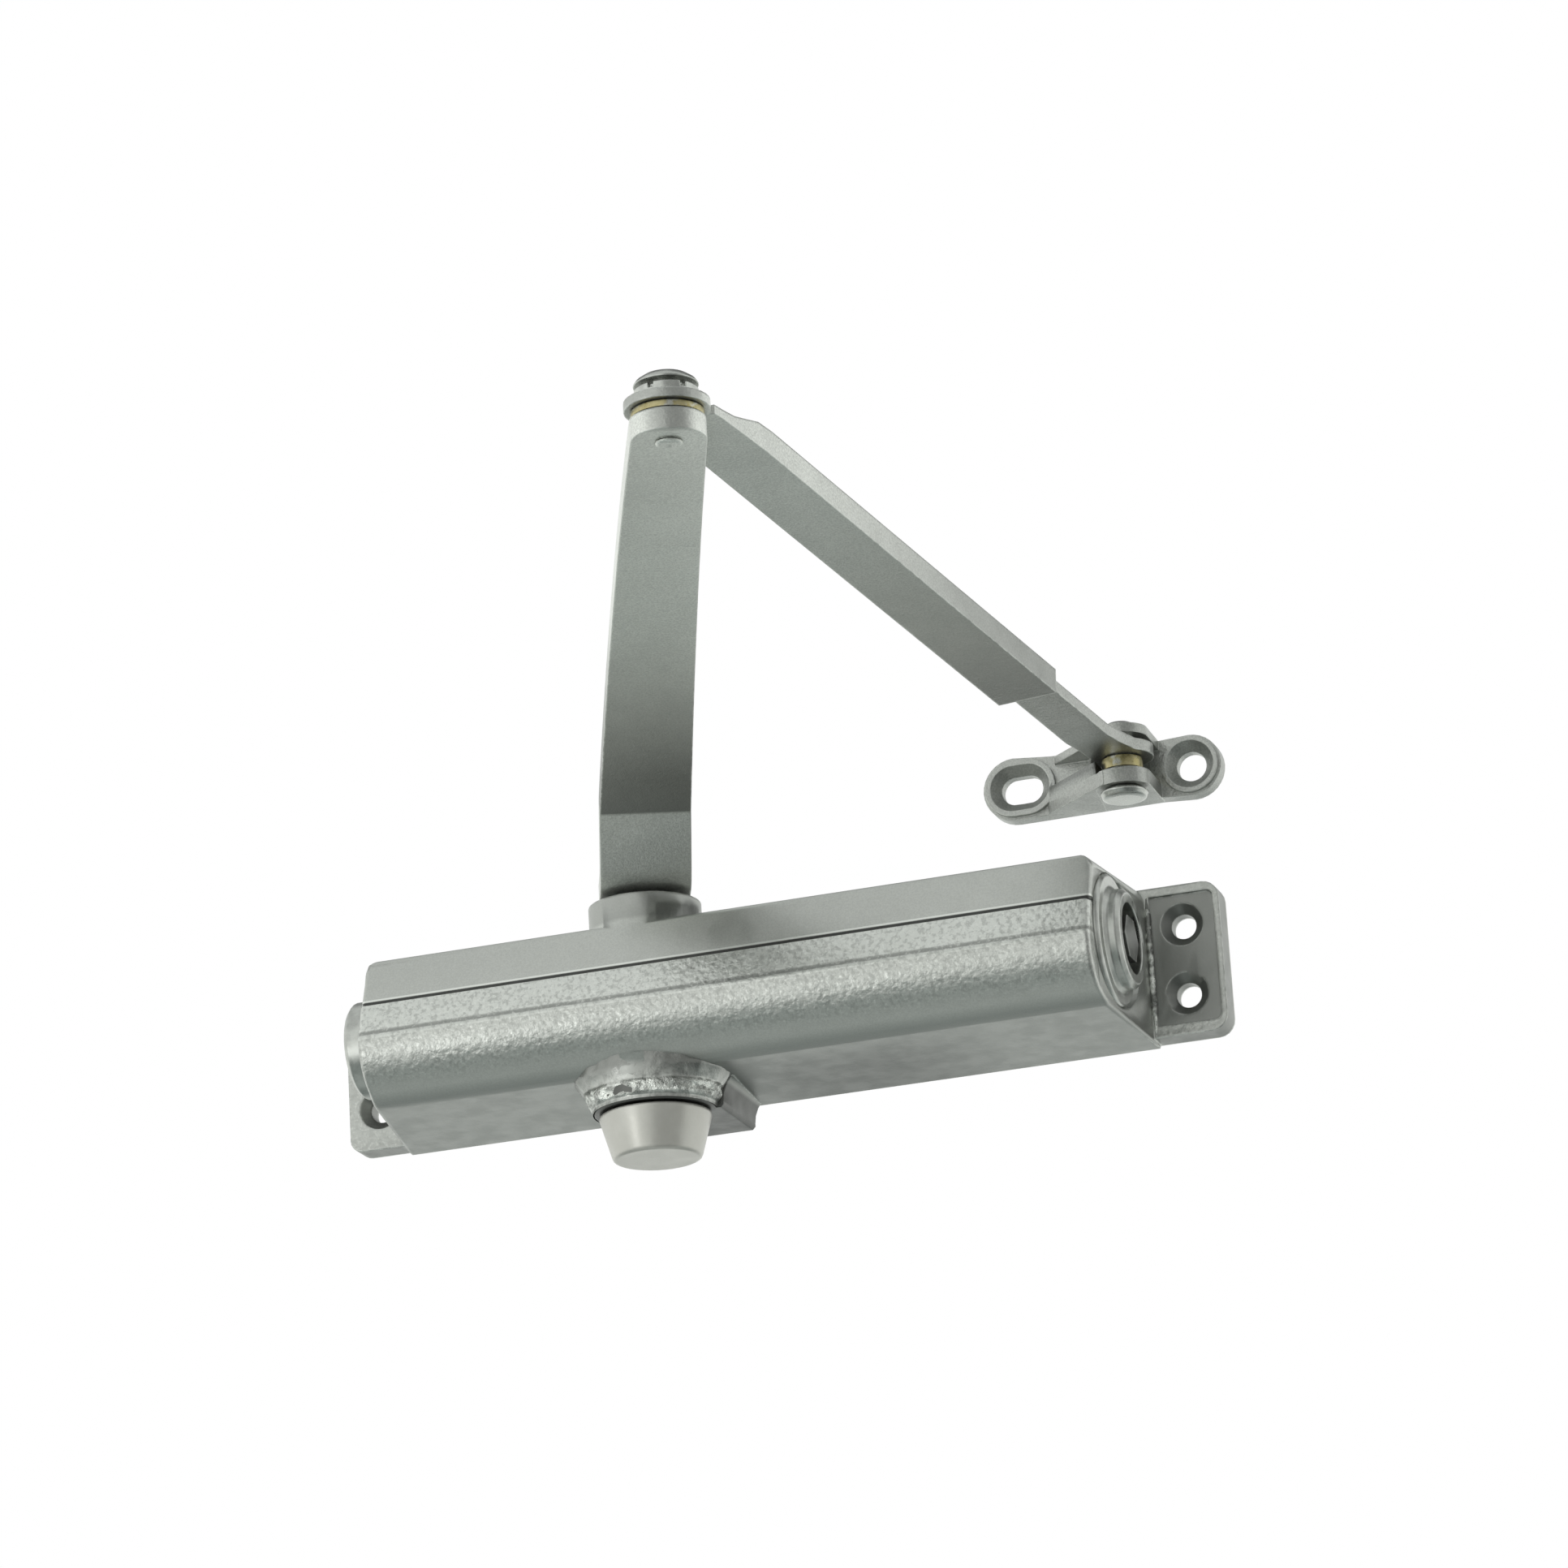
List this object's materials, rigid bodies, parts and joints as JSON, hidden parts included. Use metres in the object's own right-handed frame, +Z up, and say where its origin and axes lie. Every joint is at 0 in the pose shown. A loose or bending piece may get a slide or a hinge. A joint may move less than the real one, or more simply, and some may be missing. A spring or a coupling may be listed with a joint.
{
  "type": "door closer",
  "caption": "Surface mounted hydraulic door closer: long cast body with mounting flanges, spindle, cranked main arm, adjustable forearm and foot bracket.",
  "frame": {"origin": "centre of the four screw hole pattern, on the body's back face", "axes": "+Z up along the spindle, +Y into the door or frame the body is screwed to, X along the body"},
  "size_m": [0.2528, 0.2674, 0.1292],
  "materials": {
    "silver_paint_casting": "silver paint on a die casting, lightly textured on the front",
    "silver_paint_steel": "smooth silver paint on steel",
    "bright_steel": "turned, bright zinc plated",
    "hardened_steel": "hardened, oiled",
    "spring_steel": "oil tempered spring wire",
    "yellow_zinc": "yellow zinc plated",
    "bronze": "plain turned bearing bronze",
    "cast_iron": "machined cast iron",
    "grey_plastic": "moulded, fine matt",
    "black_rubber": "plain nitrile"
  },
  "bodies": {
    "body": {"housing": "silver_paint_casting", "end_plug_left": "bright_steel", "end_plug_right": "bright_steel", "plug_seal_left": "black_rubber", "plug_seal_right": "black_rubber", "upper_bearing": "bronze", "upper_seal": "black_rubber", "upper_gland": "bright_steel", "lower_bearing": "bronze", "lower_seal": "black_rubber", "lower_gland": "bright_steel", "pinion_cap": "grey_plastic", "closing_spring": "spring_steel"},
    "spindle": {"pinion_shaft": "hardened_steel", "main_arm": "silver_paint_steel", "arm_washer": "bright_steel", "arm_screw": "hardened_steel", "elbow_pin": "bright_steel", "elbow_collar": "bright_steel", "elbow_washer": "yellow_zinc"},
    "piston": {"piston": "cast_iron", "check_valve": "bronze"},
    "forearm": {"forearm_channel": "silver_paint_steel", "lock_nut": "bright_steel"},
    "rod": {"forearm_rod": "silver_paint_steel"},
    "foot": {"foot_bracket": "silver_paint_steel", "foot_pin": "bright_steel", "foot_bush": "bronze"},
    "sweep_valve": {"sweep_valve": "bright_steel"},
    "latch_valve": {"latch_valve": "bright_steel"},
    "backcheck_valve": {"backcheck_valve": "bright_steel"},
    "adjuster": {"adjusting_screw": "hardened_steel"},
    "spring_seat": {"spring_seat": "bright_steel"},
    "lock_screw": {"lock_screw": "hardened_steel"}
  },
  "joints": [
    {"name": "pinion_spin", "type": "hinge", "parent": "body", "child": "spindle", "pos_m": [-0.0264, -0.034, 0], "axis": [0, 0, 1], "range_deg": [0, 180], "stiffness_Nm_per_rad": 8},
    {"name": "piston_slide", "type": "slide", "parent": "body", "child": "piston", "axis": [1, 0, 0], "range_m": [0, 0.0283], "deforming": ["closing_spring"]},
    {"name": "elbow", "type": "hinge", "parent": "spindle", "child": "forearm", "pos_m": [0.061, -0.257, 0], "axis": [0, 0, 1], "range_deg": [-285, 0]},
    {"name": "forearm_length", "type": "slide", "parent": "forearm", "child": "rod", "axis": [0.1785, 0.976, -0.125], "range_m": [-0.025, 0.06]},
    {"name": "foot_swivel", "type": "hinge", "parent": "rod", "child": "foot", "pos_m": [0.1048, -0.0175, 0], "axis": [0, 0, 1], "range_deg": [-95, 70]},
    {"name": "lock_screw_turn", "type": "hinge", "parent": "forearm", "child": "lock_screw", "pos_m": [0.09068, -0.09469, 0.06329], "axis": [-0.9837, 0.1799, 0], "range_deg": [0, 720]},
    {"name": "sweep_valve_turn", "type": "hinge", "parent": "body", "child": "sweep_valve", "pos_m": [0.028, -0.0096, 0], "axis": [0, 0, 1], "range_deg": [-360, 360]},
    {"name": "latch_valve_turn", "type": "hinge", "parent": "body", "child": "latch_valve", "pos_m": [0.042, -0.0096, 0], "axis": [0, 0, 1], "range_deg": [-360, 360]},
    {"name": "backcheck_valve_turn", "type": "hinge", "parent": "body", "child": "backcheck_valve", "pos_m": [0.056, -0.0096, 0], "axis": [0, 0, 1], "range_deg": [-360, 360]},
    {"name": "adjuster_turn", "type": "hinge", "parent": "body", "child": "adjuster", "pos_m": [0, -0.034, -0.0005], "axis": [1, 0, 0], "range_deg": [0, 1801]},
    {"name": "spring_seat_travel", "type": "slide", "parent": "body", "child": "spring_seat", "axis": [1, 0, 0], "range_m": [-0.0075, 0]}
  ],
  "couplings": [
    {"joint": "piston_slide", "follows": "pinion_spin", "m_per_rad": 0.009},
    {"joint": "adjuster_turn", "follows": "spring_seat_travel", "rad_per_m": -4188.8}
  ]
}
